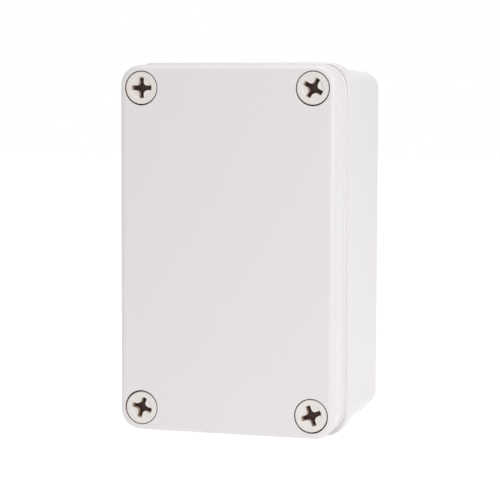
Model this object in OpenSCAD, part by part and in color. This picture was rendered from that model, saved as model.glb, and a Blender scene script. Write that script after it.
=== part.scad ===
// Plastic project box: a drafted tub with a rim flange, a deep lid held by four captive screws, and
// a gasket that the tub's tongue presses into. It stands on one end, with the lid's face towards -Y.
// Each piece is drawn flat, with its depth along Z from the wall face at 0, and upright() stands it up.

/* [Enclosure] */
// Width over the rim flange
width = 80; // [76:1:120]
// Height over the rim flange
height = 130; // [110:1:200]
// Depth from the wall face to the lid's face
depth = 70; // [55:1:120]

/* [Tub] */
// Depth of the rim flange
flange_depth = 6.1; // [4:0.1:9]
// How far the flange stands out from the tub's wall
flange_step = 1.3; // [0.8:0.1:2]
// Corner radius of the flange
flange_r = 7.9; // [6:0.1:10]
// Corner radius of the tub's wall where it meets the flange
tub_r = 7.4; // [6:0.1:10]
// Draft angle of the tub's outer wall in degrees
tub_draft = 1.6; // [0.5:0.1:2]
// Radius of the edge between the tub's wall and the wall face
back_r = 4.1; // [2:0.1:5]
// Rounding of the flange's two edges
flange_edge_r = 0.5; // [0.3:0.1:0.8]
// Thickness of the tub's floor
floor_t = 2.6; // [2:0.1:4]
// Draft angle of the tub's inner wall in degrees
void_draft = 0.5; // [0.3:0.1:0.8]
// Radius between the tub's floor and its inner wall
void_r = 2; // [1:0.1:3]

/* [Lid] */
// Depth of the lid from its face to its rim
lid_depth = 14.3; // [14:0.1:18]
// Open line between the lid's rim and the flange
parting_gap = 0.3; // [0.2:0.05:0.6]
// Width of the ledge that the flange leaves around the lid's rim
ledge = 0.6; // [0.4:0.1:1.5]
// Corner radius at the lid's face
face_r = 7.1; // [5:0.1:9]
// Corner radius at the lid's rim, larger so that the ledge widens at the corners
rim_r = 9; // [7:0.1:10]
// Radius of the edge around the lid's face
lid_edge_r = 2.2; // [1:0.1:3]
// Thickness of the lid's face
lid_t = 2.6; // [2:0.1:3.5]
// Thickness of the lid's wall
lid_wall = 1.8; // [1.6:0.1:2.4]
// How far the lid's lip stands out from its wall
lip_out = 0.35; // [0.2:0.05:0.5]
// Depth of the lid's lip
lip_depth = 2; // [1:0.1:3]

/* [Seal] */
// Thickness of the tub's tongue
tongue_t = 1.5; // [1.2:0.1:2]
// Gap on each side of the tongue in the lid
tongue_clear = 0.35; // [0.3:0.05:0.6]
// Thickness of the gasket when the lid is closed
gasket_t = 2; // [1.5:0.1:3]
// Gap between the gasket and what lies beside and under it
gasket_gap = 0.05; // [0.02:0.01:0.2]
// Thickness of the ribs beside the gasket
rib_t = 1.2; // [1:0.1:1.6]
// Depth of the ribs beside the gasket
rib_depth = 5; // [3:0.1:7]

/* [Lid screws] */
// Distance from the flange's sides and ends to the axis of each lid screw
screw_inset = 9; // [9:0.1:10]
// Diameter of a screw's head
head_d = 11.3; // [9:0.1:11.5]
// Depth of a screw's head
head_t = 4.4; // [3.5:0.1:5]
// Gap around a screw's head in its well
head_clear = 0.4; // [0.3:0.05:0.6]
// How far a screw's head lies below the lid's face
head_sink = 0.2; // [0:0.05:0.5]
// Gap under a screw's head
head_seat = 0.05; // [0.02:0.01:0.2]
// Rounding of a screw head's edge
head_edge_r = 0.35; // [0.2:0.05:0.6]
// Diameter of the dish in a screw's head
dish_d = 7.6; // [7:0.1:8]
// Depth of the dish in a screw's head
dish_t = 0.35; // [0.2:0.05:0.6]
// Width of one arm of the cross recess
cross_w = 1.7; // [1.3:0.1:2]
// Depth of the cross recess
cross_t = 3.2; // [2:0.1:3.4]
// Radius between two arms of the cross recess
cross_r = 1.1; // [0.5:0.1:1.3]
// Diameter of the cross recess at its tip
cross_tip_d = 6.4; // [5:0.1:7]
// Diameter of a screw's neck
neck_d = 4.2; // [3.6:0.1:4.4]
// Diameter of a screw's thread
thread_d = 5; // [4.8:0.1:5.4]
// Pitch of a screw's thread
thread_pitch = 0.8; // [0.5:0.05:1]
// Depth of thread in the insert when the lid is closed
thread_grip = 5.2; // [3:0.1:7]
// Thickness of a well's side
well_wall = 1.5; // [1.2:0.1:1.7]
// Thickness of a well's floor
well_floor = 2.5; // [2:0.1:3]
// Gap between the thread and the hole in a well's floor
thread_clear = 0.25; // [0.2:0.05:0.4]

/* [Retaining rings] */
// Thickness of a retaining ring
ring_t = 1; // [0.8:0.1:1.5]
// Outer diameter of a retaining ring
ring_d = 7.2; // [6.6:0.1:7.6]
// Gap between a retaining ring and the screw's neck
ring_fit = 0.05; // [0.02:0.01:0.1]
// Gap around a retaining ring in its pocket
ring_clear = 0.3; // [0.3:0.05:0.5]
// Thickness of the sleeve around a retaining ring's pocket
sleeve_t = 1.5; // [1.2:0.1:2]

/* [Threaded inserts] */
// Diameter of an insert
insert_d = 7; // [6.4:0.1:7.6]
// Length of an insert
insert_t = 8; // [6:0.5:12]
// How far an insert lies below the top of its post
insert_sink = 0.3; // [0.1:0.05:0.6]
// Gap between an insert's bore and the thread
insert_fit = 0.05; // [0.02:0.01:0.1]
// Width of the groove around an insert
insert_groove_w = 1.6; // [1:0.1:2.5]
// Depth of the groove around an insert
insert_groove_t = 0.4; // [0.2:0.05:0.6]
// Thickness of a post's side around its insert
post_wall = 1.9; // [1.5:0.1:2]
// Depth of the hole below an insert
post_spare = 6; // [2:0.5:12]

/* [Wall fixings] */
// Distance across the box from a lid screw's axis to the wall fixing beside it
fixing_offset = 11; // [11:0.1:14]
// Diameter of the hole for a fixing
fixing_d = 4.4; // [3.5:0.1:5.5]
// Diameter of the seat for a fixing's head
fixing_seat_d = 9.2; // [8:0.1:9.4]
// Thickness of plastic under a fixing's head
fixing_seat_t = 5; // [3.5:0.1:8]
// Corner radius of the pocket around a fixing
fixing_pocket_r = 2.5; // [2:0.1:3.5]

/* [Board standoffs] */
// Distance from the flange's sides to the axis of each standoff
standoff_inset_x = 11; // [11:0.5:20]
// Distance from the flange's ends to the axis of each standoff
standoff_inset_y = 25; // [24:0.5:40]
// Diameter of a standoff
standoff_d = 6.4; // [5:0.1:7]
// Height of a standoff above the floor
standoff_h = 6; // [4:0.5:12]
// Diameter of the hole in a standoff
standoff_hole_d = 2.5; // [2:0.1:3]

/* [Hidden] */

// How far each lid screw has been turned, seen from the front, in degrees
turn_tl = 0;
turn_tr = -30;
turn_bl = -16;
turn_br = 20;

// Facets of the hulls' own corner posts, and of true round faces
hull_fn = 32;
round_fn = 64;
// Steps along a rounded edge
edge_steps = 6;
// How far a cut runs past the face that it opens
cut = 1;

abs_grey = [0.90, 0.89, 0.88];
screw_ivory = [0.91, 0.90, 0.87];
brass = [0.78, 0.62, 0.30];
seal_black = [0.12, 0.12, 0.13];
ring_white = [0.85, 0.85, 0.82];

// Heights above the wall face
lid_rim_z = depth - lid_depth;
flange_z = lid_rim_z - parting_gap;
flange_back_z = flange_z - flange_depth;
lid_inside_z = depth - lid_t;
gasket_z = lid_inside_z - gasket_t;
tongue_z = gasket_z - gasket_gap;
head_top_z = depth - head_sink;
head_z = head_top_z - head_t;
well_z = head_z - head_seat;
well_under_z = well_z - well_floor;
insert_top_z = flange_z - insert_sink;
insert_z = insert_top_z - insert_t;
thread_tip_z = insert_top_z - thread_grip;

// Half sizes across and along the box
lid_x = width / 2 - ledge - lip_out;
lid_y = height / 2 - ledge - lip_out;
tongue_x = lid_x - lid_wall - tongue_clear;
tongue_y = lid_y - lid_wall - tongue_clear;
sealed_x = tongue_x - tongue_t;
sealed_y = tongue_y - tongue_t;
tub_x = width / 2 - flange_step;
tub_y = height / 2 - flange_step;

// Places of what stands in the corners, and how far each reaches from its axis
screw_x = width / 2 - screw_inset;
screw_y = height / 2 - screw_inset;
fixing_x = screw_x - fixing_offset;
standoff_x = width / 2 - standoff_inset_x;
standoff_y = height / 2 - standoff_inset_y;
well_r = head_d / 2 + head_clear;
cup_r = well_r + well_wall;
ring_pocket_r = ring_d / 2 + ring_clear;
sleeve_r = ring_pocket_r + sleeve_t;
post_r = insert_d / 2 + post_wall;
sealed_post_r = cup_r + tongue_clear + tongue_t;
sealed_fixing = fixing_seat_d / 2 + tongue_t;

// Stands a piece on its end, with its depth running towards -Y
module upright() {
    translate([0, depth / 2, height / 2]) rotate([90, 0, 0]) children();
}

// Repeats its children in the four corners, mirrored about both middle planes
module in_corners() {
    for (left = [0, 1], low = [0, 1])
        mirror([left, 0, 0]) mirror([0, low, 0]) children();
}

// Points of an arc from angle a to angle b about [cx, cy]
function arc(cx, cy, r, a, b) =
    [for (i = [0 : edge_steps]) let (t = a + (b - a) * i / edge_steps) [cx + r * cos(t), cy + r * sin(t)]];

// Four posts turned from one half profile, wrapped into a block with half sizes x and y
module wrapped(x, y, r, profile) {
    hull() in_corners() translate([x - r, y - r, 0])
        rotate_extrude($fn = hull_fn) polygon(profile);
}

// Flat rectangle with round corners, of half sizes x and y
module rounded_rectangle(x, y, r) {
    square([2 * x, 2 * (y - r)], center = true);
    square([2 * (x - r), 2 * y], center = true);
    in_corners() translate([x - r, y - r]) circle(r, $fn = round_fn);
}

// Area that the seal encloses, grown outwards by g: it passes inside each screw and fixing
module sealed_area(g) {
    corner_r = fixing_pocket_r + tongue_t;
    difference() {
        square([2 * (sealed_x + g), 2 * (sealed_y + g)], center = true);
        in_corners() {
            translate([screw_x, screw_y]) circle(sealed_post_r - g, $fn = round_fn);
            translate([screw_x, screw_y - sealed_post_r + g]) square([width, height]);
            translate([fixing_x - sealed_fixing + corner_r, screw_y - sealed_fixing + corner_r]) {
                circle(corner_r - g, $fn = round_fn);
                translate([g - corner_r, 0]) square([width, height]);
                translate([0, g - corner_r]) square([width, height]);
            }
        }
    }
}

// Outside of the tub, from the wall face to the flange
module tub_block() {
    slope = tan(tub_draft);
    back_post_r = tub_r - (flange_back_z - back_r) * slope;
    wrapped(tub_x, tub_y, tub_r, concat(
        [[0, 0]],
        arc(back_post_r - back_r, back_r, back_r, -90, 0),
        [[tub_r, flange_back_z + flange_edge_r], [0, flange_back_z + flange_edge_r]]
    ));
}

// Flange around the tub's rim
module flange() {
    wrapped(width / 2, height / 2, flange_r, concat(
        [[0, flange_back_z]],
        arc(flange_r - flange_edge_r, flange_back_z + flange_edge_r, flange_edge_r, -90, 0),
        arc(flange_r - flange_edge_r, flange_z - flange_edge_r, flange_edge_r, 0, 90),
        [[0, flange_z]]
    ));
}

// Space inside the tub's outer walls, from the floor to past the rim
module tub_space() {
    slope = tan(void_draft);
    rise = tongue_z - floor_t;
    r = tub_r - (tub_x - sealed_x);
    half = rise / 2 * slope;
    wrapped(sealed_x + half, sealed_y + half, r + half, concat(
        [[0, floor_t]],
        arc(r - half - void_r, floor_t + void_r, void_r, -90, 0),
        [[r + half, tongue_z + cut], [0, tongue_z + cut]]
    ));
}

// What is hollow in the tub: the sealed space, and a pocket outside the seal in each corner
module tub_hollows() {
    intersection() {
        tub_space();
        union() {
            linear_extrude(depth) sealed_area(0);
            translate([0, 0, fixing_seat_t]) linear_extrude(depth) difference() {
                square([width, height], center = true);
                sealed_area(tongue_t);
                in_corners() translate([screw_x, screw_y]) circle(post_r, $fn = round_fn);
            }
        }
    }
}

module standoffs() {
    in_corners() translate([standoff_x, standoff_y, floor_t - cut])
        cylinder(d = standoff_d, h = standoff_h + cut, $fn = round_fn);
}

module base_holes() {
    in_corners() {
        translate([screw_x, screw_y, insert_z]) cylinder(d = insert_d, h = depth, $fn = round_fn);
        translate([screw_x, screw_y, insert_z - post_spare])
            cylinder(d = thread_d + 2 * insert_fit, h = post_spare + cut, $fn = round_fn);
        translate([fixing_x, screw_y, -cut]) cylinder(d = fixing_d, h = depth, $fn = round_fn);
        translate([standoff_x, standoff_y, floor_t])
            cylinder(d = standoff_hole_d, h = standoff_h + cut, $fn = round_fn);
    }
}

module base() {
    color(abs_grey) upright() difference() {
        union() {
            difference() {
                union() {
                    tub_block();
                    flange();
                    translate([0, 0, flange_z - cut])
                        linear_extrude(tongue_z - flange_z + cut) sealed_area(tongue_t);
                }
                tub_hollows();
            }
            standoffs();
        }
        base_holes();
    }
}

// Outside of the lid: its wall between the rim and the rounded face, and the lip along the rim
module lid_block() {
    lip_x = lid_x + lip_out;
    lip_y = lid_y + lip_out;
    hull() in_corners() {
        translate([lid_x - face_r, lid_y - face_r, 0]) rotate_extrude($fn = hull_fn) polygon(concat(
            [[0, depth - lid_edge_r]],
            arc(face_r - lid_edge_r, depth - lid_edge_r, lid_edge_r, 0, 90),
            [[0, depth]]
        ));
        translate([lid_x - rim_r, lid_y - rim_r, lid_rim_z]) cylinder(r = rim_r, h = cut, $fn = hull_fn);
    }
    wrapped(lip_x, lip_y, rim_r + lip_out, concat(
        [[0, lid_rim_z]],
        arc(rim_r, lid_rim_z + lip_out, lip_out, -90, 0),
        [[rim_r + lip_out, lid_rim_z + lip_depth / 2], [rim_r, lid_rim_z + lip_depth], [0, lid_rim_z + lip_depth]]
    ));
}

// Ribs that hold the gasket: one inside it, and one outside it where no wall or well is
module gasket_ribs() {
    translate([0, 0, lid_inside_z - rib_depth]) linear_extrude(rib_depth + cut) {
        difference() {
            sealed_area(-tongue_clear);
            sealed_area(-tongue_clear - rib_t);
        }
        difference() {
            sealed_area(tongue_t + tongue_clear + rib_t);
            sealed_area(tongue_t + tongue_clear);
        }
    }
}

module wells() {
    in_corners() translate([screw_x, screw_y, 0]) {
        translate([0, 0, well_under_z]) cylinder(r = cup_r, h = lid_inside_z + cut - well_under_z, $fn = round_fn);
        translate([0, 0, lid_rim_z]) cylinder(r = sleeve_r, h = well_z - lid_rim_z, $fn = round_fn);
    }
}

module lid_holes() {
    in_corners() translate([screw_x, screw_y, 0]) {
        translate([0, 0, well_z]) cylinder(r = well_r, h = depth, $fn = round_fn);
        cylinder(d = thread_d + 2 * thread_clear, h = depth, $fn = round_fn);
        cylinder(r = ring_pocket_r, h = well_under_z, $fn = round_fn);
    }
}

module lid() {
    color(abs_grey) upright() difference() {
        union() {
            difference() {
                lid_block();
                linear_extrude(lid_inside_z)
                    rounded_rectangle(lid_x - lid_wall, lid_y - lid_wall, rim_r - lid_wall);
            }
            gasket_ribs();
            wells();
        }
        lid_holes();
    }
}

module gasket() {
    color(seal_black) upright() translate([0, 0, gasket_z]) linear_extrude(gasket_t) difference() {
        sealed_area(tongue_t + tongue_clear - gasket_gap);
        sealed_area(gasket_gap - tongue_clear);
    }
}

// Outline of the cross recess: four arms with round corners between them
module cross_outline() {
    square([dish_d, cross_w], center = true);
    square([cross_w, dish_d], center = true);
    in_corners() difference() {
        square(cross_w / 2 + cross_r);
        translate([cross_w / 2 + cross_r, cross_w / 2 + cross_r]) circle(cross_r, $fn = round_fn);
    }
}

// One lid screw on its own axis, with its cross recess turned by the angle given
module lid_screw(angle) {
    head_r = head_d / 2;
    neck_r = neck_d / 2;
    thread_r = thread_d / 2;
    tip_chamfer = thread_pitch;
    difference() {
        rotate_extrude($fn = round_fn) polygon(concat(
            [[0, thread_tip_z], [thread_r - tip_chamfer, thread_tip_z], [thread_r, thread_tip_z + tip_chamfer],
             [thread_r, lid_rim_z], [neck_r, lid_rim_z], [neck_r, head_z], [head_r, head_z]],
            arc(head_r - head_edge_r, head_top_z - head_edge_r, head_edge_r, 0, 90),
            [[0, head_top_z]]
        ));
        translate([0, 0, head_top_z - dish_t])
            cylinder(d1 = dish_d - dish_t, d2 = dish_d + dish_t, h = 2 * dish_t, $fn = round_fn);
        rotate([0, 0, angle]) intersection() {
            translate([0, 0, head_top_z - cross_t]) linear_extrude(cross_t + cut) cross_outline();
            translate([0, 0, head_top_z - cross_t])
                cylinder(d1 = cross_tip_d, d2 = dish_d, h = cross_t, $fn = round_fn);
        }
    }
}

module retaining_ring() {
    translate([0, 0, lid_rim_z + ring_fit]) difference() {
        cylinder(d = ring_d, h = ring_t, $fn = round_fn);
        translate([0, 0, -cut]) cylinder(d = neck_d + 2 * ring_fit, h = ring_t + 2 * cut, $fn = round_fn);
    }
}

// Insert with a groove around its middle that locks it in its post
module threaded_insert() {
    r = insert_d / 2;
    bore_r = thread_d / 2 + insert_fit;
    middle = (insert_z + insert_top_z) / 2;
    groove_r = r - insert_groove_t;
    rotate_extrude($fn = round_fn) polygon([
        [bore_r, insert_z], [r, insert_z],
        [r, middle - insert_groove_w / 2], [groove_r, middle - insert_groove_w / 2],
        [groove_r, middle + insert_groove_w / 2], [r, middle + insert_groove_w / 2],
        [r, insert_top_z], [bore_r, insert_top_z]
    ]);
}

// Places a piece on the axis of the lid screw on the side given by the two signs
module at_screw(side, end) {
    upright() translate([side * screw_x, end * screw_y, 0]) children();
}

module lid_screw_tl() { color(screw_ivory) at_screw(-1, 1) lid_screw(turn_tl); }
module lid_screw_tr() { color(screw_ivory) at_screw(1, 1) lid_screw(turn_tr); }
module lid_screw_bl() { color(screw_ivory) at_screw(-1, -1) lid_screw(turn_bl); }
module lid_screw_br() { color(screw_ivory) at_screw(1, -1) lid_screw(turn_br); }

module retaining_ring_tl() { color(ring_white) at_screw(-1, 1) retaining_ring(); }
module retaining_ring_tr() { color(ring_white) at_screw(1, 1) retaining_ring(); }
module retaining_ring_bl() { color(ring_white) at_screw(-1, -1) retaining_ring(); }
module retaining_ring_br() { color(ring_white) at_screw(1, -1) retaining_ring(); }

module threaded_insert_tl() { color(brass) at_screw(-1, 1) threaded_insert(); }
module threaded_insert_tr() { color(brass) at_screw(1, 1) threaded_insert(); }
module threaded_insert_bl() { color(brass) at_screw(-1, -1) threaded_insert(); }
module threaded_insert_br() { color(brass) at_screw(1, -1) threaded_insert(); }

base();
lid();
gasket();
lid_screw_tl();
lid_screw_tr();
lid_screw_bl();
lid_screw_br();
retaining_ring_tl();
retaining_ring_tr();
retaining_ring_bl();
retaining_ring_br();
threaded_insert_tl();
threaded_insert_tr();
threaded_insert_bl();
threaded_insert_br();
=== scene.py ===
# %% [markdown]
# # A plastic project box
#
# This lesson dresses a small sealed project box: a light grey tub, a deep lid in the same plastic, and
# four ivory plastic screws that sit in wells in the lid's corners. The frame that is loaded first holds
# every piece at its real size and place. Each moulding is then modelled again with finer corners and
# edges, because a glossy plastic box is recognised by the light that runs along its rounded edges.

# %% Load the frame
import bmesh
import bpy
import math
from mathutils import Matrix, Vector


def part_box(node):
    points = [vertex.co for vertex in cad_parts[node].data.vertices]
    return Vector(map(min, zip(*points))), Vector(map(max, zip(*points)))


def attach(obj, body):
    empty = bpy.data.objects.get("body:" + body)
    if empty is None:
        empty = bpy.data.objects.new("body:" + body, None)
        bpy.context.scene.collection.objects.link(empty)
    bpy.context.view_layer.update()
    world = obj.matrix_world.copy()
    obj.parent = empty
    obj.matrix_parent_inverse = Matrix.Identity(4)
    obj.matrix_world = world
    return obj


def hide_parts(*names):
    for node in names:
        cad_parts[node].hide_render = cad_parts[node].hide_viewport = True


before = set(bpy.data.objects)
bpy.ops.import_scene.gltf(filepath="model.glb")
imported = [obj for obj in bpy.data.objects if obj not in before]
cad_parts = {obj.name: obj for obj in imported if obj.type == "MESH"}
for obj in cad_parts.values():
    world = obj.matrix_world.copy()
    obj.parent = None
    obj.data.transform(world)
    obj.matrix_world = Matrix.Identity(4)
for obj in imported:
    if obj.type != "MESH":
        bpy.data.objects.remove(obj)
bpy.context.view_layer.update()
bpy.ops.object.select_all(action="DESELECT")

# %% [markdown]
# ## The camera
#
# A product like this is shown from a little to the right of the lid and a little above it, through a
# long lens, so that the lid stays the main face and its depth still shows. A long lens far away keeps
# the box's sides almost parallel. The camera comes first, so that every later step can be looked at.

# %% Camera
EYE = Vector((0.2120, -0.6738, 0.1186))
HEADING = math.radians(17.63)
DIP = math.radians(4.52)
ROLL = math.radians(0.19)
LENS_MM = 140.9
SENSOR_MM = 36.0
NEAREST_SEEN = 0.01

bpy.ops.object.camera_add(location=EYE)
camera = bpy.context.object
camera.name = "camera"
turn = (Matrix.Rotation(HEADING, 3, "Z") @ Matrix.Rotation(math.pi / 2 - DIP, 3, "X")
        @ Matrix.Rotation(ROLL, 3, "Z"))
camera.rotation_euler = turn.to_euler()
camera.data.lens = LENS_MM
camera.data.sensor_width = SENSOR_MM
camera.data.clip_start = NEAREST_SEEN
bpy.context.scene.camera = camera
bpy.context.scene.view_settings.view_transform = "Standard"
print("camera looks along", [round(v, 3) for v in turn @ Vector((0, 0, -1))])

# %% [markdown]
# ## Sizes
#
# The outer sizes are read from the frame, so a piece made here lands where its solid stands. The
# thicknesses and radii below are those of the mouldings. Everything is in metres, and `MM` keeps the
# numbers readable. The lid's rim and the flange reach a little further towards each other than their
# solids do, which leaves the line between them 0.03 mm wide.

# %% Sizes
MM = 0.001
base_low, base_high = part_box("base")
lid_low, lid_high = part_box("lid")
gasket_low, gasket_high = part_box("gasket")
screw_low, screw_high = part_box("lid_screw_tr")
ring_low, ring_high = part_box("retaining_ring_tr")
insert_low, insert_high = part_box("threaded_insert_tr")

MIDDLE_Z = (base_low.z + base_high.z) / 2
HALF_WIDTH = base_high.x
HALF_HEIGHT = (base_high.z - base_low.z) / 2
BACK_Y = base_high.y
FACE_Y = lid_low.y
RIM_Y = lid_high.y
HAIR = 0.01 * MM
LIP_OUT = 0.35 * MM
LID_INSET = 0.95 * MM
LID_X = HALF_WIDTH - LID_INSET
LID_Z = HALF_HEIGHT - LID_INSET
LID_WALL = 1.8 * MM
LID_T = gasket_low.y - FACE_Y
RIM_REACH = 0.13 * MM
FLANGE_GAP = 0.16 * MM
RIM_END = RIM_Y + RIM_REACH
FLANGE_Y = RIM_Y + FLANGE_GAP
FLANGE_DEPTH = 6.1 * MM
FLANGE_STEP = 1.3 * MM
TONGUE_Y = base_low.y
TONGUE_T = 1.5 * MM
TONGUE_CLEAR = 0.35 * MM
SEALED_X = LID_X - LID_WALL - TONGUE_CLEAR - TONGUE_T
SEALED_Z = LID_Z - LID_WALL - TONGUE_CLEAR - TONGUE_T
SCREW_X = (screw_low.x + screw_high.x) / 2
SCREW_Z = (screw_low.z + screw_high.z) / 2 - MIDDLE_Z
SCREW_TO_FIXING = 11 * MM
FIXING_X = SCREW_X - SCREW_TO_FIXING
HEAD_R = (screw_high.x - screw_low.x) / 2
HEAD_Y = screw_low.y
HEAD_T = 4.4 * MM
HEAD_GAP = 0.4 * MM
WELL_WALL = 1.5 * MM
WELL_R = HEAD_R + HEAD_GAP
CUP_R = WELL_R + WELL_WALL
SEALED_SCREW_R = CUP_R + TONGUE_CLEAR + TONGUE_T
FIXING_ROOM = 4.6 * MM
STEP_R = 2.5 * MM
SEALED_FIXING = FIXING_ROOM + TONGUE_T
STEP_CORNER_R = STEP_R + TONGUE_T
CORNERS = {"tl": (-1, 1), "tr": (1, 1), "bl": (-1, -1), "br": (1, -1)}
print("lid half sizes", round(LID_X, 5), round(LID_Z, 5),
      "screws at", round(SCREW_X, 4), round(SCREW_Z, 4))

# %% [markdown]
# ## A tool for lofted pieces
#
# Every moulding here is a stack of closed outlines that change a little from one to the next: a wall
# with draft, an edge that rounds over, a lip. So one tool serves them all. It starts from a circle
# primitive, bends it to the first outline, then extrudes that loop once for each further outline and
# puts the new loop in its place. Extruding keeps neat rows of four-sided faces, which shade cleanly.
# Outlines are lists of (x, z) about the middle of the lid, and `y` is the depth, from the lid's face at
# the front to the wall face at the back.

# %% The loft tool
def edit(piece):
    """Opens one piece in edit mode, with nothing selected."""
    bpy.ops.object.select_all(action="DESELECT")
    bpy.context.view_layer.objects.active = piece
    piece.select_set(True)
    bpy.ops.object.mode_set(mode="EDIT")
    bpy.ops.mesh.select_all(action="DESELECT")
    return bmesh.from_edit_mesh(piece.data)


def place_loop(mesh, loop, outline, y):
    """Puts a loop of vertices on an outline at depth y."""
    for index, (x, z) in zip(loop, outline):
        mesh.verts[index].co = (x, y, MIDDLE_Z + z)


def select_loop(mesh, loop):
    """Selects the vertices and edges of one loop alone."""
    bpy.ops.mesh.select_all(action="DESELECT")
    for index in loop:
        mesh.verts[index].select = True
    mesh.select_flush(True)


def loft(name, sections, closed=False):
    """Makes a solid through the sections, each (outline, y). A closed one joins its last loop and first."""
    outline, y = sections[0]
    count = len(outline)
    bpy.ops.object.select_all(action="DESELECT")
    bpy.ops.mesh.primitive_circle_add(vertices=count, radius=MM, fill_type="NOTHING", location=(0, 0, 0))
    piece = bpy.context.object
    piece.name = piece.data.name = name
    bm = edit(piece)
    bm.verts.ensure_lookup_table()
    loop = list(range(count))
    place_loop(bm, loop, outline, y)
    first = list(loop)
    for outline, y in sections[1:]:
        select_loop(bm, loop)
        bpy.ops.mesh.extrude_edges_move()
        bm = bmesh.from_edit_mesh(piece.data)
        bm.verts.ensure_lookup_table()
        bm.verts.index_update()
        grown = []
        for index in loop:
            ahead = [e.other_vert(bm.verts[index]) for e in bm.verts[index].link_edges]
            grown.append(next(v.index for v in ahead if v.select))
        loop = grown
        place_loop(bm, loop, outline, y)
    if closed:
        bpy.ops.mesh.select_all(action="DESELECT")
        for index in first + loop:
            bm.verts[index].select = True
        bm.select_flush(True)
        for edge in bm.edges:
            edge.select = edge.is_boundary
        bpy.ops.mesh.bridge_edge_loops()
    else:
        for end in (first, loop):
            select_loop(bm, end)
            bpy.ops.mesh.edge_face_add()
            bm = bmesh.from_edit_mesh(piece.data)
            bm.verts.ensure_lookup_table()
    bpy.ops.mesh.select_all(action="SELECT")
    bpy.ops.mesh.normals_make_consistent(inside=False)
    bpy.ops.object.mode_set(mode="OBJECT")
    return piece


# %% [markdown]
# ## Outlines
#
# Three outlines do all the work. The rounded rectangle is the box itself. The circle is for wells, posts
# and screws. The third is the line of the seal: it follows the walls, but passes inside each screw in a
# scallop and inside each wall fixing in a square step, so that water that gets in at a screw stays
# outside the seal.

# %% Outlines
CORNER_STEPS = 12
ROUND_STEPS = 64
EDGE_STEPS = 6
SCALLOP_STEPS = 8
SOFT_STEPS = 4
SEAL_SOFT = 2 * MM
SEAL_SOFT_LEAST = 0.3 * MM


def arc(x, z, r, start, end, steps):
    """Points on an arc, with angles in degrees."""
    angles = [math.radians(start + (end - start) * i / steps) for i in range(steps + 1)]
    return [(x + r * math.cos(a), z + r * math.sin(a)) for a in angles]


def rounded_rectangle(half_x, half_z, r):
    """A rectangle with round corners, about the middle of the box."""
    points = []
    for x, z, start in ((1, 1, 0), (-1, 1, 90), (-1, -1, 180), (1, -1, 270)):
        points += arc(x * (half_x - r), z * (half_z - r), r, start, start + 90, CORNER_STEPS)
    return points


def circle(x, z, r):
    return arc(x, z, r, 0, 360, ROUND_STEPS)[:-1]


def seal_line(grow):
    """The outline of the sealed space, grown outwards: each corner has a scallop and a square step."""
    r_screw = SEALED_SCREW_R - grow
    reach = SEALED_FIXING - grow
    step_r = STEP_CORNER_R - grow
    half_x, half_z = SEALED_X + grow, SEALED_Z + grow
    soft = max(SEAL_SOFT_LEAST, SEAL_SOFT + grow)
    scallop_end = -180 + math.degrees(math.asin(reach / r_screw))
    corner = arc(half_x - soft, SCREW_Z - r_screw - soft, soft, 0, 90, SOFT_STEPS)
    corner += arc(SCREW_X, SCREW_Z, r_screw, -90, scallop_end, SCALLOP_STEPS)
    corner += arc(FIXING_X - reach + step_r, SCREW_Z - reach + step_r, step_r, -90, -180, EDGE_STEPS)
    corner += arc(FIXING_X - reach - soft, half_z - soft, soft, 0, 90, SOFT_STEPS)
    points = list(corner)
    points += [(-x, z) for x, z in reversed(corner)]
    points += [(-x, -z) for x, z in corner]
    points += [(x, -z) for x, z in reversed(corner)]
    return points


def round_over(y_side, y_end, inset):
    """(inset, y) pairs of a quarter round that leaves a wall at y_side and ends on a face at y_end."""
    steps = [math.radians(90 * i / EDGE_STEPS) for i in range(EDGE_STEPS + 1)]
    return [(inset * (1 - math.cos(a)), y_side + (y_end - y_side) * math.sin(a)) for a in steps]


print("seal line has", len(seal_line(0)), "points; keeps", round(SEALED_SCREW_R, 5),
      "from a screw's axis and", round(SEALED_FIXING, 5), "from a fixing's")

# %% [markdown]
# ## Cutting, joining and finishing
#
# Wells, posts and pockets are cut and joined with Boolean modifiers that are applied at once, as a
# machinist would drill a finished block. The Exact solver is used because the faces meet edge to edge.
# Finishing shades by angle and then weights each normal by the size of its faces: the large flat faces
# stay flat, and only the rounded edges carry a gradient.

# %% Cutting, joining and finishing
def combine(piece, tool, operation):
    """Applies one Boolean and removes the tool."""
    bpy.ops.object.select_all(action="DESELECT")
    bpy.context.view_layer.objects.active = piece
    piece.select_set(True)
    modifier = piece.modifiers.new("combine", "BOOLEAN")
    modifier.operation = operation
    modifier.solver = "EXACT"
    modifier.object = tool
    bpy.ops.object.modifier_apply(modifier=modifier.name)
    bpy.data.objects.remove(tool, do_unlink=True)


def cut(piece, tool):
    combine(piece, tool, "DIFFERENCE")


def weld(piece, tool):
    combine(piece, tool, "UNION")


def turned(name, x, z, profile):
    """A turned piece on an axis along Y: the profile is (radius, y) pairs from one end to the other."""
    return loft(name, [(circle(x, z, r), y) for r, y in profile])


def finish_shape(piece, angle=32):
    """Shades a finished moulding."""
    bpy.ops.object.select_all(action="DESELECT")
    bpy.context.view_layer.objects.active = piece
    piece.select_set(True)
    bpy.ops.object.shade_smooth_by_angle(angle=math.radians(angle))
    modifier = piece.modifiers.new("weighted", "WEIGHTED_NORMAL")
    modifier.keep_sharp = True
    modifier.weight = 100
    bpy.ops.object.modifier_apply(modifier=modifier.name)
    size = [round(v / MM, 2) for v in piece.dimensions]
    print(piece.name, "measures", size, "mm in", len(piece.data.polygons), "faces")


def stand_in(piece, node, body):
    """The piece replaces its solid and rides on the same body."""
    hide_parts(node)
    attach(piece, body)


# %% [markdown]
# ## The lid
#
# The lid is one moulding: a flat face, a rounded edge of a little over 2 mm, a straight wall, and a thin
# lip where it meets the tub. Its corners are rounder at the rim than at the face, so the tub's ledge
# shows as a crescent at each corner. The loft runs over the outside from the face to the rim, round the
# rim, and back up the inside to the underside of the face.

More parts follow.
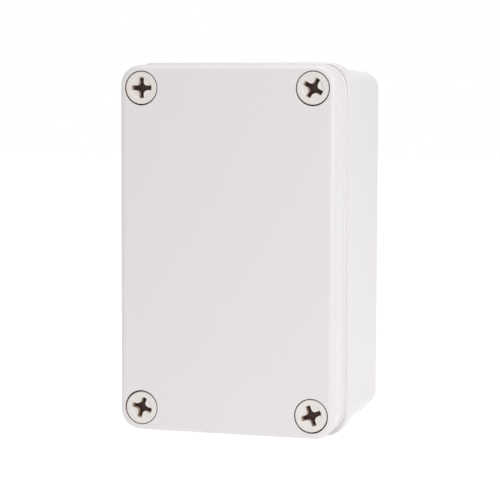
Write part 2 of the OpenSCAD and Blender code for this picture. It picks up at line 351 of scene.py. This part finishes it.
# %% Lid shell
FACE_CORNER_R = 7.1 * MM
RIM_CORNER_R = 9.0 * MM
LID_EDGE_R = 2.2 * MM
LIP_DEPTH = 2.0 * MM
LIP_SLOPE = ((0.08, 0.04), (0.9, 0.74), (0.98, 1.0), (1.0, 1.6))
RIM_SOFT = 0.12 * MM
RIM_INNER_SOFT = 0.1 * MM
INSIDE_SOFT = 0.8 * MM
lip_y = RIM_END - LIP_DEPTH
inside_y = FACE_Y + LID_T


def lid_outline(inset, corner_r):
    return rounded_rectangle(LID_X - inset, LID_Z - inset, corner_r - inset)


lid_sections = []
for inset, y in reversed(round_over(FACE_Y + LID_EDGE_R, FACE_Y, LID_EDGE_R)):
    lid_sections.append((lid_outline(inset, FACE_CORNER_R), y))
lid_sections.append((lid_outline(0, RIM_CORNER_R), lip_y))
for out, depth in LIP_SLOPE:
    lid_sections.append((lid_outline(-LIP_OUT * out, RIM_CORNER_R), lip_y + depth * LIP_OUT))
for inset, y in round_over(RIM_END - RIM_SOFT, RIM_END, RIM_SOFT):
    lid_sections.append((lid_outline(inset - LIP_OUT, RIM_CORNER_R), y))
for inset, y in ((LID_WALL - RIM_INNER_SOFT, RIM_END), (LID_WALL, RIM_END - RIM_INNER_SOFT)):
    lid_sections.append((lid_outline(inset, RIM_CORNER_R), y))
for inset, y in round_over(inside_y + INSIDE_SOFT, inside_y, INSIDE_SOFT):
    lid_sections.append((lid_outline(LID_WALL + inset, RIM_CORNER_R), y))
lid = loft("lid_cover", lid_sections)
print("lid shell through", len(lid_sections), "outlines")

# %% [markdown]
# Inside the lid, two ribs hold the gasket along the seal line, and each screw well is a cup with a
# narrower sleeve below it for the retaining ring. Each is made as a solid of its own that reaches a
# little way into the lid's face, and is then welded on.

# %% Gasket ribs, cups and sleeves
RIB_T = 1.2 * MM
RIB_DEPTH = 5.0 * MM
OUTER_RIB_GAP = 0.03 * MM
UNDER_HEAD_GAP = 0.05 * MM
WELL_Y = HEAD_Y + HEAD_T + UNDER_HEAD_GAP
WELL_FLOOR = 2.5 * MM
RING_GAP = 0.3 * MM
SLEEVE_R = (ring_high.x - ring_low.x) / 2 + RING_GAP + WELL_WALL
BITE = 0.5 * MM
TIP_SOFT = 0.25 * MM


def rib_between(name, inner, outer, root_y, tip_y):
    """A rib along the seal line between two growths, with its two tip edges rounded."""
    sections = [(seal_line(outer), root_y)]
    for inset, y in round_over(tip_y - TIP_SOFT, tip_y, TIP_SOFT):
        sections.append((seal_line(outer - inset), y))
    for inset, y in reversed(round_over(tip_y - TIP_SOFT, tip_y, TIP_SOFT)):
        sections.append((seal_line(inner + inset), y))
    sections.append((seal_line(inner), root_y))
    return loft(name, sections, closed=True)


root_y, tip_y = inside_y - BITE, inside_y + RIB_DEPTH
weld(lid, rib_between("inner_rib", -TONGUE_CLEAR - RIB_T, -TONGUE_CLEAR, root_y, tip_y))
outer_gap = TONGUE_T + TONGUE_CLEAR + OUTER_RIB_GAP
weld(lid, rib_between("outer_rib", outer_gap, outer_gap + RIB_T, root_y, tip_y))
well_end_y = WELL_Y + WELL_FLOOR
for side, end in CORNERS.values():
    x, z = side * SCREW_X, end * SCREW_Z
    cup = [(CUP_R, root_y), (CUP_R, well_end_y - TIP_SOFT), (CUP_R - TIP_SOFT, well_end_y)]
    weld(lid, turned("cup", x, z, cup))
    sleeve = [(SLEEVE_R, WELL_Y), (SLEEVE_R, RIM_Y - TIP_SOFT), (SLEEVE_R - TIP_SOFT, RIM_Y)]
    weld(lid, turned("sleeve", x, z, sleeve))
print("lid with ribs, cups and sleeves:", len(lid.data.polygons), "faces")

# %% [markdown]
# The wells are cut last, through everything. The cutter flares over its last quarter millimetre, which
# leaves a softened mouth: a moulded hole never has a knife edge. Below the well comes the neck hole,
# and below that the pocket in which the retaining ring travels.

# %% Wells, neck holes and ring pockets
MOUTH_SOFT = 0.22 * MM
NECK_HOLE_R = 2.75 * MM
RING_POCKET_R = SLEEVE_R - WELL_WALL

for side, end in CORNERS.values():
    x, z = side * SCREW_X, end * SCREW_Z
    flare = [(WELL_R + MOUTH_SOFT * (1 - math.sin(a)), FACE_Y + MOUTH_SOFT * (1 - math.cos(a)))
             for a in (math.radians(90 * i / EDGE_STEPS) for i in range(EDGE_STEPS + 1))]
    cut(lid, turned("well", x, z, [(WELL_R + MOUTH_SOFT, FACE_Y - MM), *flare, (WELL_R, WELL_Y)]))
    cut(lid, turned("neck_hole", x, z, [(NECK_HOLE_R, WELL_Y - MM), (NECK_HOLE_R, well_end_y + MM)]))
    cut(lid, turned("ring_pocket", x, z, [(RING_POCKET_R, well_end_y), (RING_POCKET_R, RIM_Y + MM)]))
# The well faces below each mouth take a second material with painted shade that darkens with depth.
lid.data.materials.append(None)
lid.data.materials.append(None)
for face in lid.data.polygons:
    x, y, z = face.center
    across = math.hypot(abs(x) - SCREW_X, abs(z - MIDDLE_Z) - SCREW_Z)
    if across < WELL_R + HAIR and FACE_Y + MOUTH_SOFT < y < WELL_Y + HAIR:
        face.material_index = 1
finish_shape(lid)
stand_in(lid, "lid", "lid")

# %% [markdown]
# ## The tub
#
# The tub is the other large moulding. Its outside rises from the wall face through a 4 mm edge and a
# drafted wall, then steps out into a flange. The flange's front edge slopes over the whole ledge outside
# the lid's lip, so it shows as a second line of light beside the lip. The corners narrow with the draft:
# each outline keeps its corner centres, and only its radius changes. A plug inside the flange becomes
# the tongue, once the cavity has been cut through it.

# %% Tub block and tongue
TUB_X = HALF_WIDTH - FLANGE_STEP
TUB_Z = HALF_HEIGHT - FLANGE_STEP
TUB_CORNER_R = 7.4 * MM
DRAFT_DEGREES = 1.6
DRAFT = math.tan(math.radians(DRAFT_DEGREES))
BACK_EDGE_R = 4.1 * MM
FLANGE_CORNER_R = 7.9 * MM
FLANGE_SOFT = 0.5 * MM
LEDGE = 0.6 * MM
FLANGE_SLOPE = ((0, 1.05), (0.03, 0.85), (0.1, 0.72), (0.85, 0.1), (0.95, 0.03), (1.1, 0))
flange_back_y = FLANGE_Y + FLANGE_DEPTH


def tub_outline(inset):
    return rounded_rectangle(TUB_X - inset, TUB_Z - inset, TUB_CORNER_R - inset)


def flange_outline(inset):
    return rounded_rectangle(HALF_WIDTH - inset, HALF_HEIGHT - inset, FLANGE_CORNER_R - inset)


wall_inset = (BACK_Y - BACK_EDGE_R - flange_back_y) * DRAFT
base_sections = []
for inset, y in reversed(round_over(BACK_Y - BACK_EDGE_R, BACK_Y, BACK_EDGE_R)):
    base_sections.append((tub_outline(wall_inset + inset), y))
base_sections.append((tub_outline(0), flange_back_y))
for inset, y in reversed(round_over(flange_back_y + FLANGE_SOFT, flange_back_y, FLANGE_SOFT)):
    base_sections.append((flange_outline(inset), 2 * flange_back_y - y))
for inset, depth in FLANGE_SLOPE:
    base_sections.append((flange_outline(inset * LEDGE), FLANGE_Y + depth * LEDGE))
base = loft("tub", base_sections)
plug = [(seal_line(TONGUE_T), FLANGE_Y + MM)]
for inset, y in round_over(TONGUE_Y + TIP_SOFT, TONGUE_Y, TIP_SOFT):
    plug.append((seal_line(TONGUE_T - inset), y))
weld(base, loft("tongue", plug))
print("tub block through", len(base_sections), "outlines; wall narrows by", round(wall_inset / MM, 2), "mm")

# %% [markdown]
# The cavity follows the seal line and tapers towards the floor, because a core has to leave the mould.
# Outside the seal, each corner has a pocket with a post for the lid screw. All four pockets are one
# cutter: a block the size of the inner walls, less the sealed space and less the posts.

# %% Cavity, corner pockets and posts
FLOOR_T = 2.6 * MM
POCKET_FLOOR_T = 5.0 * MM
FLOOR_Y = BACK_Y - FLOOR_T
POCKET_Y = BACK_Y - POCKET_FLOOR_T
VOID_TAPER = 0.27 * MM
VOID_R = 2.0 * MM
POCKET_MOUTH_R = 4.4 * MM
POCKET_FLOOR_R = 4 * MM
POST_R = 5.4 * MM
halfway_y = (FLOOR_Y + TONGUE_Y) / 2

cavity = [(seal_line(TIP_SOFT), TONGUE_Y - MM), (seal_line(TIP_SOFT), TONGUE_Y)]
for inset, y in reversed(round_over(TONGUE_Y, TONGUE_Y + TIP_SOFT, TIP_SOFT)):
    cavity.append((seal_line(inset), 2 * TONGUE_Y + TIP_SOFT - y))
cavity.append((seal_line(0), halfway_y))
for inset, y in round_over(FLOOR_Y - VOID_R, FLOOR_Y, VOID_R):
    cavity.append((seal_line(-VOID_TAPER - inset), y))
cut(base, loft("cavity", cavity))

mouth = rounded_rectangle(SEALED_X + VOID_TAPER, SEALED_Z + VOID_TAPER, POCKET_MOUTH_R)
foot = rounded_rectangle(SEALED_X - VOID_TAPER / 2, SEALED_Z - VOID_TAPER / 2, POCKET_FLOOR_R)
pockets = loft("pockets", [(mouth, FLANGE_Y - MM), (foot, POCKET_Y)])
sealed = seal_line(TONGUE_T)
cut(pockets, loft("sealed_space", [(sealed, FLANGE_Y - 2 * MM), (sealed, BACK_Y)]))
for side, end in CORNERS.values():
    x, z = side * SCREW_X, end * SCREW_Z
    cut(pockets, turned("post", x, z, [(POST_R, FLANGE_Y - 2 * MM), (POST_R, BACK_Y)]))
cut(base, pockets)
print("tub with cavity and pockets:", len(base.data.polygons), "faces")

# %% [markdown]
# Drilled features come last: the seats of the brass inserts with clearance below them, the wall fixing
# holes outside the seal, and four standoffs for a board.

# %% Holes and standoffs
INSERT_R = (insert_high.x - insert_low.x) / 2
THREAD_HOLE_R = 2.55 * MM
FIXING_R = 2.2 * MM
STANDOFF_X = 29 * MM
STANDOFF_Z = 40 * MM
STANDOFF_R = 3.2 * MM
STANDOFF_HOLE_R = 1.25 * MM
STANDOFF_HEIGHT = 6 * MM
BELOW_INSERT = 6 * MM
top_y = FLOOR_Y - STANDOFF_HEIGHT
seat_y = insert_high.y

for side, end in CORNERS.values():
    x, z = side * STANDOFF_X, end * STANDOFF_Z
    standoff = [(STANDOFF_R, FLOOR_Y + BITE), (STANDOFF_R, top_y + TIP_SOFT), (STANDOFF_R - TIP_SOFT, top_y)]
    weld(base, turned("standoff", x, z, standoff))
    cut(base, turned("standoff_hole", x, z, [(STANDOFF_HOLE_R, FLOOR_Y), (STANDOFF_HOLE_R, top_y - MM)]))
    x, z = side * SCREW_X, end * SCREW_Z
    seat = [(THREAD_HOLE_R, seat_y + BELOW_INSERT), (THREAD_HOLE_R, seat_y), (INSERT_R, seat_y),
            (INSERT_R, FLANGE_Y - MM)]
    cut(base, turned("insert_seat", x, z, seat))
    cut(base, turned("fixing_hole", side * FIXING_X, z, [(FIXING_R, BACK_Y + MM), (FIXING_R, POCKET_Y - MM)]))
finish_shape(base)
stand_in(base, "base", "base")

# %% [markdown]
# ## The lid screws
#
# Each screw is turned from one profile: thread, neck, and a broad flat head with a shallow dish. The
# thread is a true helix, made by letting the radius of each outline grow and shrink with the angle, so
# that the ridge climbs as the outlines follow one another. The cross recess tapers like the driver that
# fits it, with four arms and round corners between them.

# %% Screw blank with its thread
PITCH = 0.8 * MM
NECK_R = 2.1 * MM
THREAD_R = 2.5 * MM
THREAD_ROOT_R = NECK_R - 0.1 * MM
THREAD_END = RIM_Y
THREAD_END_HEIGHT = 0.2
RUN_OUT = 0.2 * MM
ROWS_A_TURN = 8
HEAD_SOFT = 0.35 * MM
HEAD_BACK_SOFT = 0.15 * MM
DISH_R = 3.8 * MM
DISH_MOUTH_R = DISH_R + 0.15 * MM
DISH_MIDDLE_R = 1.2 * MM
DISH_T = 0.35 * MM
DISH_LEAN = 0.6
DISH_STEPS = 10


def thread_outline(y):
    """A circle whose radius follows a V ridge that climbs one pitch a turn."""
    points = []
    fade = min(1.0, (screw_high.y - y) / PITCH, (y - THREAD_END) / PITCH + THREAD_END_HEIGHT)
    for i in range(ROUND_STEPS):
        a = 2 * math.pi * i / ROUND_STEPS
        phase = (y / PITCH + a / (2 * math.pi)) % 1.0
        r = THREAD_ROOT_R + (THREAD_R - THREAD_ROOT_R) * max(0.0, fade) * (1 - abs(2 * phase - 1))
        points.append((r * math.cos(a), r * math.sin(a)))
    return points


def screw_sections():
    """The whole screw from its tip to the middle of the dish."""
    sections = []
    head_back_y = HEAD_Y + HEAD_T
    rows = int(round((screw_high.y - THREAD_END) / PITCH * ROWS_A_TURN))
    for i in range(rows + 1):
        y = screw_high.y + (THREAD_END - screw_high.y) * i / rows
        sections.append((thread_outline(y), y))
    sections.append((circle(0, 0, NECK_R), THREAD_END - RUN_OUT))
    sections.append((circle(0, 0, NECK_R), head_back_y))
    sections.append((circle(0, 0, HEAD_R - HEAD_BACK_SOFT), head_back_y))
    sections.append((circle(0, 0, HEAD_R), head_back_y - HEAD_BACK_SOFT))
    for inset, y in round_over(HEAD_Y + HEAD_SOFT, HEAD_Y, HEAD_SOFT):
        sections.append((circle(0, 0, HEAD_R - inset), y))
    for i in range(DISH_STEPS + 1):
        across = i / DISH_STEPS
        r = DISH_MOUTH_R + (DISH_MIDDLE_R - DISH_MOUTH_R) * across
        sections.append((circle(0, 0, r), HEAD_Y + DISH_T * math.sin(math.pi * across ** DISH_LEAN)))
    return sections


screw = loft("screw_blank", screw_sections())
print("screw blank has", len(screw.data.polygons), "faces")

# %% Cross recess
CROSS_HALF = 0.85 * MM
CROSS_R = 1.3 * MM
CROSS_T = 3.2 * MM
CROSS_TIP_R = 3.3 * MM
CROSS_TIP_HALF = 0.8 * CROSS_HALF
STEEP = 0.7


def cross_outline(tip_r, half, soft):
    """Four arms that end on a circle, with round corners that leave part of each arm straight."""
    soft = min(soft, 0.75 * (tip_r - half))
    reach = math.degrees(math.asin(half / tip_r))
    points = []
    for quarter in range(4):
        arm = arc(0, 0, tip_r, -reach, reach, EDGE_STEPS)
        arm += arc(half + soft, half + soft, soft, 270, 180, EDGE_STEPS)
        a = math.radians(90 * quarter)
        points += [(x * math.cos(a) - z * math.sin(a), x * math.sin(a) + z * math.cos(a)) for x, z in arm]
    return points


RECESS = ((DISH_R + 0.1 * MM, CROSS_HALF + 0.06 * MM, -0.2 * MM), (DISH_R, CROSS_HALF + 0.04 * MM, 0.05 * MM),
          (DISH_R - 0.15 * MM, CROSS_HALF, 0.4 * MM), (CROSS_TIP_R, CROSS_TIP_HALF, CROSS_T))
recess_sections = [(cross_outline(tip_r, half, CROSS_R), HEAD_Y + depth) for tip_r, half, depth in RECESS]
cut(screw, loft("recess", recess_sections))
# The recess walls and bottom take a second material with painted shade that darkens with depth.
screw.data.materials.append(None)
screw.data.materials.append(None)
recess_faces = 0
for face in screw.data.polygons:
    x, y, z = face.center
    across = math.hypot(x, z - MIDDLE_Z)
    in_recess = across < DISH_MOUTH_R and HEAD_Y < y < HEAD_Y + CROSS_T + 0.1 * MM
    is_wall = abs(face.normal.y) < STEEP
    is_bottom = y > HEAD_Y + DISH_T + 0.2 * MM
    if in_recess and (is_wall or is_bottom):
        face.material_index = 1
        recess_faces += 1
finish_shape(screw, angle=30)
print("recess has", recess_faces, "faces")

# %% [markdown]
# Nobody stops a screw at the same angle twice, and no head sits exactly in the middle of its well, so
# each of the four copies is turned differently and its head is shifted a little. The middle of the loft
# tool is the box's middle, so a copy is first turned about that point, then moved to its corner.

# %% Four screws
TURNS = {"tl": 0, "tr": -30, "bl": -16, "br": 20}
SHIFTS = {"tl": (0.03, 0.10), "tr": (-0.03, 0.12), "bl": (0.05, -0.16), "br": (-0.05, 0.06)}
for corner, (side, end) in CORNERS.items():
    bpy.ops.object.select_all(action="DESELECT")
    bpy.context.view_layer.objects.active = screw
    screw.select_set(True)
    bpy.ops.object.duplicate(linked=False)
    copy = bpy.context.object
    copy.name = copy.data.name = "screw_" + corner
    turn = Matrix.Rotation(math.radians(-TURNS[corner]), 4, "Y")
    to_middle = Matrix.Translation((0, 0, -MIDDLE_Z))
    to_corner = Matrix.Translation((side * SCREW_X, 0, MIDDLE_Z + end * SCREW_Z))
    copy.data.transform(turn @ to_middle)
    for vertex in copy.data.vertices:
        off_axis = math.hypot(vertex.co.x, vertex.co.z)
        if vertex.co.y < HEAD_Y + HEAD_T + HAIR and off_axis > NECK_R + HAIR:
            vertex.co.x += SHIFTS[corner][0] * MM
            vertex.co.z += SHIFTS[corner][1] * MM
    copy.data.transform(to_corner)
    stand_in(copy, "lid_screw_" + corner, "lid_screw_" + corner)
    low, high = [Vector(v) for v in (copy.bound_box[0], copy.bound_box[6])]
    spans = [round(v / MM, 2) for v in high - low]
    print(copy.name, "turned by", TURNS[corner], "degrees, spans", spans, "mm")
bpy.data.objects.remove(screw, do_unlink=True)

# %% [markdown]
# ## Plastics, rubber and brass
#
# The box is moulded ABS in a light warm grey with a soft gloss. A plain colour would look like paint, so
# the roughness varies a little over the surface, and a faint broad bump gives the slight unevenness of a
# moulded wall. All patterns read Object coordinates, so they stay with the piece.

# %% Material tools
PLASTIC_IOR = 1.5
SPECKLE_SCALE = 60.0
WAVE_SCALE = 45.0
WAVE_HEIGHT = 0.003 * MM


def new_material(name, color, roughness, metallic=0.0):
    material = bpy.data.materials.new(name)
    material.use_nodes = True
    shader = material.node_tree.nodes["Principled BSDF"]
    shader.inputs["Base Color"].default_value = (*color, 1.0)
    shader.inputs["Roughness"].default_value = roughness
    shader.inputs["Metallic"].default_value = metallic
    shader.inputs["IOR"].default_value = PLASTIC_IOR
    return material, material.node_tree, shader


def object_noise(tree, scale, detail):
    place = tree.nodes.new("ShaderNodeTexCoord")
    noise = tree.nodes.new("ShaderNodeTexNoise")
    noise.inputs["Scale"].default_value = scale
    noise.inputs["Detail"].default_value = detail
    tree.links.new(place.outputs["Object"], noise.inputs["Vector"])
    return noise.outputs["Fac"]


def spread(tree, value, low, high):
    """Spreads a 0 to 1 value between two ends."""
    node = tree.nodes.new("ShaderNodeMapRange")
    node.inputs["To Min"].default_value = low
    node.inputs["To Max"].default_value = high
    tree.links.new(value, node.inputs["Value"])
    return node.outputs["Result"]


def bump(tree, value, distance):
    node = tree.nodes.new("ShaderNodeBump")
    node.inputs["Distance"].default_value = distance
    tree.links.new(value, node.inputs["Height"])
    return node.outputs["Normal"]


def moulded(name, color, rough_low, rough_high):
    material, tree, shader = new_material(name, color, rough_low)
    rough = spread(tree, object_noise(tree, SPECKLE_SCALE, 2.0), rough_low, rough_high)
    tree.links.new(rough, shader.inputs["Roughness"])
    wave = bump(tree, object_noise(tree, WAVE_SCALE, 1.0), WAVE_HEIGHT)
    tree.links.new(wave, shader.inputs["Normal"])
    return material


def paint(piece, *materials):
    """Fills the slots in place, because emptying them would forget which face uses which."""
    slots = piece.data.materials
    while len(slots) < len(materials):
        slots.append(None)
    for index, material in enumerate(materials):
        slots[index] = material


# %% [markdown]
# The cross recess and the gap around each head are deep and narrow, and light that enters them comes back
# warm and weak. That shade is painted in: a second material on those faces darkens its colour with the depth
# below the face, far, to a dark brown, in the recess, and only a little in the well, which is seen open when
# a screw is out.

# %% Painted shade for deep faces
def painted_depth_shade(name, top_y, depth, stops, roughness):
    """A material with painted shade, its colour darker with depth: stops are (share of the depth, colour)."""
    material, tree, shader = new_material(name, stops[0][1], roughness)
    place = tree.nodes.new("ShaderNodeTexCoord")
    split = tree.nodes.new("ShaderNodeSeparateXYZ")
    tree.links.new(place.outputs["Object"], split.inputs["Vector"])
    share = tree.nodes.new("ShaderNodeMapRange")
    share.inputs["From Min"].default_value = top_y
    share.inputs["From Max"].default_value = top_y + depth
    tree.links.new(split.outputs["Y"], share.inputs["Value"])
    ramp = tree.nodes.new("ShaderNodeValToRGB")
    ramp.color_ramp.elements[0].position = stops[0][0]
    ramp.color_ramp.elements[0].color = (*stops[0][1], 1)
    ramp.color_ramp.elements[1].position = stops[-1][0]
    ramp.color_ramp.elements[1].color = (*stops[-1][1], 1)
    for position, color in stops[1:-1]:
        ramp.color_ramp.elements.new(position).color = (*color, 1)
    tree.links.new(share.outputs["Result"], ramp.inputs["Fac"])
    tree.links.new(ramp.outputs["Color"], shader.inputs["Base Color"])
    return material


# %% Materials on every piece
housing = moulded("housing_abs", (0.755, 0.725, 0.735), 0.23, 0.27)
tub_housing = moulded("tub_abs", (0.737, 0.708, 0.718), 0.23, 0.27)
ivory = moulded("screw_polyamide", (0.755, 0.720, 0.690), 0.35, 0.40)
# Painted shade in the screw recess: the colour falls from ivory to near black with depth.
RECESS_SHADE_COLORS = [(0.0, (0.74, 0.68, 0.62)), (0.4, (0.62, 0.50, 0.41)), (0.75, (0.30, 0.19, 0.14)),
                 (1.0, (0.060, 0.028, 0.020))]
# Painted shade in the wells: the colour falls a little, to a warm brown, with depth below the face.
WELL_SHADE_COLORS = [(0.04, (0.72, 0.66, 0.64)), (0.25, (0.62, 0.51, 0.45)), (1.0, (0.50, 0.38, 0.31))]
recess = painted_depth_shade("screw_recess_painted_shade", HEAD_Y, CROSS_T, RECESS_SHADE_COLORS, 0.6)
well_side_painted_shade = painted_depth_shade("well_side_painted_shade", FACE_Y, WELL_Y - FACE_Y, WELL_SHADE_COLORS, 0.5)
natural = moulded("ring_polyamide", (0.62, 0.60, 0.54), 0.38, 0.46)
rubber = moulded("gasket_rubber", (0.015, 0.015, 0.016), 0.55, 0.70)
brass, _, _ = new_material("insert_brass", (0.72, 0.50, 0.20), 0.28, metallic=1.0)

paint(lid, housing, well_side_painted_shade)
paint(base, tub_housing)
paint(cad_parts["gasket"], rubber)
for corner in CORNERS:
    paint(bpy.data.objects["screw_" + corner], ivory, recess)
    paint(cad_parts["retaining_ring_" + corner], natural)
    paint(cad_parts["threaded_insert_" + corner], brass)
print("materials:", [m.name for m in bpy.data.materials if m.users])

# %% [markdown]
# ## Floor and light
#
# The box stands in an all-white studio. A uniform world gives the plain level, a tall narrow panel on the
# right lights the side a little more than the face, and a large one lights the top. The floor sends
# light back up, most of it near the box, so the walls grow lighter towards their foot. The floor and the
# world show white to the camera.

# %% Seen or lighting
def backdrop_share(tree):
    """1 for rays that show the background: those from the camera, from mirrors and through glass."""
    rays = tree.nodes.new("ShaderNodeLightPath")
    shown = rays.outputs["Is Camera Ray"]
    for name in ("Is Glossy Ray", "Is Transmission Ray"):
        larger = tree.nodes.new("ShaderNodeMath")
        larger.operation = "MAXIMUM"
        tree.links.new(shown, larger.inputs[0])
        tree.links.new(rays.outputs[name], larger.inputs[1])
        shown = larger.outputs["Value"]
    return shown


# %% World
WORLD_LEVEL = 0.57
WORLD_SHOWN = 1.0
world = bpy.data.worlds.new("studio")
bpy.context.scene.world = world
world.use_nodes = True
tree = world.node_tree
tree.nodes.clear()
output = tree.nodes.new("ShaderNodeOutputWorld")
lit = tree.nodes.new("ShaderNodeBackground")
lit.inputs["Strength"].default_value = WORLD_LEVEL
seen = tree.nodes.new("ShaderNodeBackground")
seen.inputs["Strength"].default_value = WORLD_SHOWN
for background in (lit, seen):
    background.inputs["Color"].default_value = (1, 1, 1, 1)
mix = tree.nodes.new("ShaderNodeMixShader")
tree.links.new(backdrop_share(tree), mix.inputs["Fac"])
tree.links.new(lit.outputs["Background"], mix.inputs[1])
tree.links.new(seen.outputs["Background"], mix.inputs[2])
tree.links.new(mix.outputs["Shader"], output.inputs["Surface"])

# %% Floor
FLOOR_SIZE = 6
FLOOR_GAP = 0.2 * MM
FLOOR_ALBEDO = 0.9
FLOOR_GLOW = 0.10
NEAR_GLOW = 0.17
NEAR_REACH = 0.10
FAR_REACH = 0.45
FLOOR_WHITE = 1.25
FLOOR_SHOWN = 0.7
bpy.ops.object.select_all(action="DESELECT")
bpy.ops.mesh.primitive_plane_add(size=FLOOR_SIZE, location=(0, 0, base_low.z - FLOOR_GAP))
floor = bpy.context.object
floor.name = "floor"
floor_white = bpy.data.materials.new("floor_white")
floor_white.use_nodes = True
tree = floor_white.node_tree
tree.nodes.clear()
output = tree.nodes.new("ShaderNodeOutputMaterial")
matt = tree.nodes.new("ShaderNodeBsdfDiffuse")
matt.inputs["Color"].default_value = (FLOOR_ALBEDO, FLOOR_ALBEDO, FLOOR_ALBEDO, 1)
glow = tree.nodes.new("ShaderNodeEmission")
place = tree.nodes.new("ShaderNodeTexCoord")
reach = tree.nodes.new("ShaderNodeVectorMath")
reach.operation = "LENGTH"
tree.links.new(place.outputs["Object"], reach.inputs[0])
fall = tree.nodes.new("ShaderNodeMapRange")
fall.inputs["From Min"].default_value = NEAR_REACH
fall.inputs["From Max"].default_value = FAR_REACH
fall.inputs["To Min"].default_value = FLOOR_GLOW + NEAR_GLOW
fall.inputs["To Max"].default_value = FLOOR_GLOW
tree.links.new(reach.outputs["Value"], fall.inputs["Value"])
tree.links.new(fall.outputs["Result"], glow.inputs["Strength"])
table = tree.nodes.new("ShaderNodeAddShader")
tree.links.new(matt.outputs["BSDF"], table.inputs[0])
tree.links.new(glow.outputs["Emission"], table.inputs[1])
white = tree.nodes.new("ShaderNodeEmission")
white.inputs["Strength"].default_value = FLOOR_WHITE
share = tree.nodes.new("ShaderNodeMath")
share.operation = "MULTIPLY"
share.inputs[1].default_value = FLOOR_SHOWN
tree.links.new(backdrop_share(tree), share.inputs[0])
mix = tree.nodes.new("ShaderNodeMixShader")
tree.links.new(share.outputs["Value"], mix.inputs["Fac"])
tree.links.new(table.outputs["Shader"], mix.inputs[1])
tree.links.new(white.outputs["Emission"], mix.inputs[2])
tree.links.new(mix.outputs["Shader"], output.inputs["Surface"])
floor.data.materials.append(floor_white)

# %% Panel lights
def panel_light(name, azimuth, elevation, distance, wide, tall, level):
    """A panel that faces the box. Azimuth 0 is in front of the lid and 90 is on the right."""
    a, e = math.radians(azimuth), math.radians(elevation)
    away = Vector((math.cos(e) * math.sin(a), -math.cos(e) * math.cos(a), math.sin(e)))
    middle = Vector((0, 0, MIDDLE_Z))
    bpy.ops.object.light_add(type="AREA", location=middle + distance * away)
    panel = bpy.context.object
    panel.name = name
    panel.data.shape = "RECTANGLE"
    panel.data.size = wide
    panel.data.size_y = tall
    panel.data.energy = level * math.pi * wide * tall
    panel.rotation_euler = away.to_track_quat("Z", "Y").to_euler()


panel_light("side_panel", azimuth=57, elevation=14, distance=0.48, wide=0.11, tall=0.36, level=4.0)
panel_light("top_panel", azimuth=10, elevation=76, distance=1.2, wide=0.9, tall=0.8, level=2.6)
